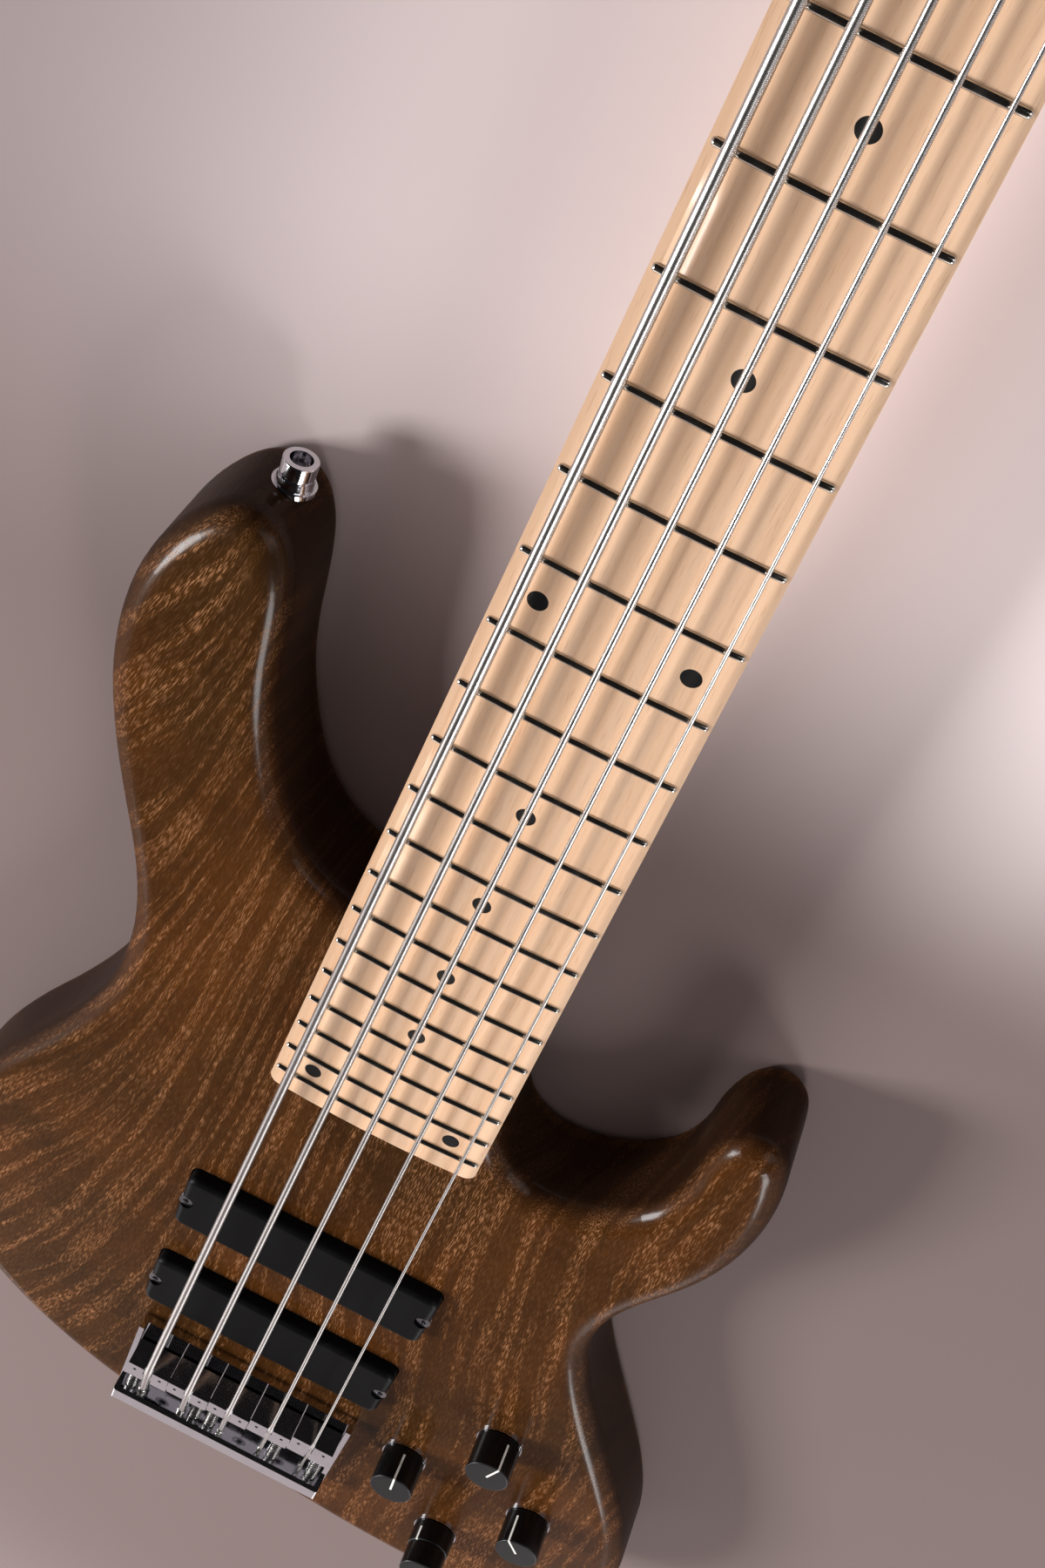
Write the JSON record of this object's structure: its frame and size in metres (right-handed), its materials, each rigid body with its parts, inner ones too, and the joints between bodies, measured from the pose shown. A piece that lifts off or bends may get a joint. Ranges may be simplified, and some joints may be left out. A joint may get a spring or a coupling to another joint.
{
  "type": "electric bass guitar",
  "caption": "Solid-body electric bass with a bolt-on maple neck, two soapbar pickups, adjustable bridge, diamond of knobs, strap locks and geared tuners.",
  "frame": {"origin": "on the plane of the body's back, on the neck's centreline, under the end of the string scale at the bridge", "axes": "+X towards the treble side, +Y along the neck towards the headstock, +Z out of the face; the bass lies on its back"},
  "size_m": [0.3329, 1.118, 0.0625],
  "materials": {
    "stained_ash": "brown stain under satin lacquer, open grain",
    "maple": "satin",
    "fret_wire": "polished",
    "black_inlay": "satin",
    "nut_white": "satin",
    "steel": "plain",
    "chrome": "mirror",
    "string_metal": "wound",
    "brass": "plain",
    "pickup_black": "matte",
    "knob_black": "gloss",
    "cover_black": "matte",
    "circuit_green": "satin",
    "battery_can": "satin",
    "foam": "open-cell foam"
  },
  "bodies": {
    "instrument": {"body": "stained_ash", "neck": "maple", "fingerboard": "maple", "frets": "fret_wire", "position_dots": "black_inlay", "nut": "nut_white", "truss_rod": "steel", "tuner_housings": "chrome", "tuner_bushings": "chrome", "headstock_screws": "steel", "string_retainer": "chrome", "strings": "string_metal", "ball_ends": "brass", "bridge_plate": "chrome", "bridge_screws": "steel", "intonation_springs": "chrome", "potentiometers": "steel", "panel_nuts": "chrome", "rear_covers": "cover_black", "cover_screws": "steel", "preamp_board": "circuit_green", "battery": "battery_can", "output_jack": "chrome", "strap_buttons": "chrome", "strap_screws": "steel", "neck_bolts": "steel", "neck_ferrules": "chrome", "pickup_foam": "foam"},
    "volume_knob": {"volume_knob": "knob_black"},
    "blend_knob": {"blend_knob": "knob_black"},
    "mid_knob": {"mid_knob": "knob_black"},
    "bass_ring": {"bass_ring": "knob_black"},
    "treble_knob": {"treble_knob": "knob_black"},
    "b_tuner_key": {"b_tuner_key": "chrome"},
    "b_tuner_post": {"b_tuner_post": "chrome"},
    "e_tuner_key": {"e_tuner_key": "chrome"},
    "e_tuner_post": {"e_tuner_post": "chrome"},
    "a_tuner_key": {"a_tuner_key": "chrome"},
    "a_tuner_post": {"a_tuner_post": "chrome"},
    "d_tuner_key": {"d_tuner_key": "chrome"},
    "d_tuner_post": {"d_tuner_post": "chrome"},
    "g_tuner_key": {"g_tuner_key": "chrome"},
    "g_tuner_post": {"g_tuner_post": "chrome"},
    "b_saddle": {"b_saddle": "chrome"},
    "b_intonation_screw": {"b_intonation_screw": "chrome"},
    "e_saddle": {"e_saddle": "chrome"},
    "e_intonation_screw": {"e_intonation_screw": "chrome"},
    "a_saddle": {"a_saddle": "chrome"},
    "a_intonation_screw": {"a_intonation_screw": "chrome"},
    "d_saddle": {"d_saddle": "chrome"},
    "d_intonation_screw": {"d_intonation_screw": "chrome"},
    "g_saddle": {"g_saddle": "chrome"},
    "g_intonation_screw": {"g_intonation_screw": "chrome"},
    "neck_pickup": {"neck_pickup": "pickup_black", "neck_pickup_core": "steel", "neck_pickup_screws": "chrome"},
    "bridge_pickup": {"bridge_pickup": "pickup_black", "bridge_pickup_core": "steel", "bridge_pickup_screws": "chrome"},
    "truss_nut": {"truss_nut": "steel"}
  },
  "joints": [
    {"name": "volume_turn", "type": "hinge", "parent": "instrument", "child": "volume_knob", "pos_m": [0.0732, 0.002, 0.0423], "axis": [0, 0, 1], "range_deg": [-140, 140]},
    {"name": "blend_turn", "type": "hinge", "parent": "instrument", "child": "blend_knob", "pos_m": [0.102, 0.0465, 0.0423], "axis": [0, 0, 1], "range_deg": [-140, 140]},
    {"name": "mid_turn", "type": "hinge", "parent": "instrument", "child": "mid_knob", "pos_m": [0.1308, 0.002, 0.0423], "axis": [0, 0, 1], "range_deg": [-140, 140]},
    {"name": "bass_turn", "type": "hinge", "parent": "instrument", "child": "bass_ring", "pos_m": [0.102, -0.0425, 0.0423], "axis": [0, 0, 1], "range_deg": [-140, 140]},
    {"name": "treble_turn", "type": "hinge", "parent": "instrument", "child": "treble_knob", "pos_m": [0.102, -0.0425, 0.0423], "axis": [0, 0, 1], "range_deg": [-140, 140]},
    {"name": "b_key_turn", "type": "hinge", "parent": "instrument", "child": "b_tuner_key", "pos_m": [-0.02696, 0.90111, 0.0181], "axis": [-1, 0, 0], "range_deg": [-1080, 1080]},
    {"name": "b_post_turn", "type": "hinge", "parent": "instrument", "child": "b_tuner_post", "pos_m": [-0.02696, 0.9116, 0.0395], "axis": [0, 0, 1], "range_deg": [-60, 60]},
    {"name": "e_key_turn", "type": "hinge", "parent": "instrument", "child": "e_tuner_key", "pos_m": [-0.02201, 0.9451, 0.0181], "axis": [-1, 0, 0], "range_deg": [-1080, 1080]},
    {"name": "e_post_turn", "type": "hinge", "parent": "instrument", "child": "e_tuner_post", "pos_m": [-0.02201, 0.9556, 0.0395], "axis": [0, 0, 1], "range_deg": [-60, 60]},
    {"name": "a_key_turn", "type": "hinge", "parent": "instrument", "child": "a_tuner_key", "pos_m": [-0.01697, 0.9891, 0.0181], "axis": [-1, 0, 0], "range_deg": [-1080, 1080]},
    {"name": "a_post_turn", "type": "hinge", "parent": "instrument", "child": "a_tuner_post", "pos_m": [-0.01697, 0.9996, 0.0395], "axis": [0, 0, 1], "range_deg": [-60, 60]},
    {"name": "d_key_turn", "type": "hinge", "parent": "instrument", "child": "d_tuner_key", "pos_m": [0.021, 0.9671, 0.0181], "axis": [1, 0, 0], "range_deg": [-1080, 1080]},
    {"name": "d_post_turn", "type": "hinge", "parent": "instrument", "child": "d_tuner_post", "pos_m": [0.021, 0.9776, 0.0395], "axis": [0, 0, 1], "range_deg": [-60, 60]},
    {"name": "g_key_turn", "type": "hinge", "parent": "instrument", "child": "g_tuner_key", "pos_m": [0.02696, 0.9231, 0.0181], "axis": [1, 0, 0], "range_deg": [-1080, 1080]},
    {"name": "g_post_turn", "type": "hinge", "parent": "instrument", "child": "g_tuner_post", "pos_m": [0.02696, 0.9336, 0.0395], "axis": [0, 0, 1], "range_deg": [-60, 60]},
    {"name": "b_screw_turn", "type": "hinge", "parent": "instrument", "child": "b_intonation_screw", "pos_m": [-0.0428, -0.0458, 0.048], "axis": [0, 1, 0], "range_deg": [0, 2160]},
    {"name": "b_saddle_slide", "type": "slide", "parent": "instrument", "child": "b_saddle", "axis": [0, -1, 0], "range_m": [0, 0.003], "deforming": ["intonation_springs"]},
    {"name": "e_screw_turn", "type": "hinge", "parent": "instrument", "child": "e_intonation_screw", "pos_m": [-0.013, -0.0458, 0.048], "axis": [0, 1, 0], "range_deg": [0, 2160]},
    {"name": "e_saddle_slide", "type": "slide", "parent": "instrument", "child": "e_saddle", "axis": [0, -1, 0], "range_m": [0, 0.003], "deforming": ["intonation_springs"]},
    {"name": "a_screw_turn", "type": "hinge", "parent": "instrument", "child": "a_intonation_screw", "pos_m": [-0.0056, -0.0458, 0.048], "axis": [0, 1, 0], "range_deg": [0, 2160]},
    {"name": "a_saddle_slide", "type": "slide", "parent": "instrument", "child": "a_saddle", "axis": [0, -1, 0], "range_m": [0, 0.003], "deforming": ["intonation_springs"]},
    {"name": "d_screw_turn", "type": "hinge", "parent": "instrument", "child": "d_intonation_screw", "pos_m": [0.0242, -0.0458, 0.048], "axis": [0, 1, 0], "range_deg": [0, 2160]},
    {"name": "d_saddle_slide", "type": "slide", "parent": "instrument", "child": "d_saddle", "axis": [0, -1, 0], "range_m": [0, 0.003], "deforming": ["intonation_springs"]},
    {"name": "g_screw_turn", "type": "hinge", "parent": "instrument", "child": "g_intonation_screw", "pos_m": [0.0428, -0.0458, 0.048], "axis": [0, 1, 0], "range_deg": [0, 2160]},
    {"name": "g_saddle_slide", "type": "slide", "parent": "instrument", "child": "g_saddle", "axis": [0, -1, 0], "range_m": [0, 0.003], "deforming": ["intonation_springs"]},
    {"name": "neck_pickup_height", "type": "slide", "parent": "instrument", "child": "neck_pickup", "axis": [0, 0, 1], "range_m": [-0.0015, 0.002], "deforming": ["pickup_foam"]},
    {"name": "bridge_pickup_height", "type": "slide", "parent": "instrument", "child": "bridge_pickup", "axis": [0, 0, 1], "range_m": [-0.0015, 0.002], "deforming": ["pickup_foam"]},
    {"name": "truss_nut_turn", "type": "hinge", "parent": "instrument", "child": "truss_nut", "pos_m": [0, 0.8686, 0.0409], "axis": [0, 1, 0], "range_deg": [-180, 180]}
  ],
  "couplings": [
    {"joint": "b_post_turn", "follows": "b_key_turn", "ratio": 0.055556},
    {"joint": "e_post_turn", "follows": "e_key_turn", "ratio": 0.055556},
    {"joint": "a_post_turn", "follows": "a_key_turn", "ratio": 0.055556},
    {"joint": "d_post_turn", "follows": "d_key_turn", "ratio": -0.055556},
    {"joint": "g_post_turn", "follows": "g_key_turn", "ratio": -0.055556},
    {"joint": "b_screw_turn", "follows": "b_saddle_slide", "rad_per_m": 12566},
    {"joint": "e_screw_turn", "follows": "e_saddle_slide", "rad_per_m": 12566},
    {"joint": "a_screw_turn", "follows": "a_saddle_slide", "rad_per_m": 12566},
    {"joint": "d_screw_turn", "follows": "d_saddle_slide", "rad_per_m": 12566},
    {"joint": "g_screw_turn", "follows": "g_saddle_slide", "rad_per_m": 12566}
  ]
}
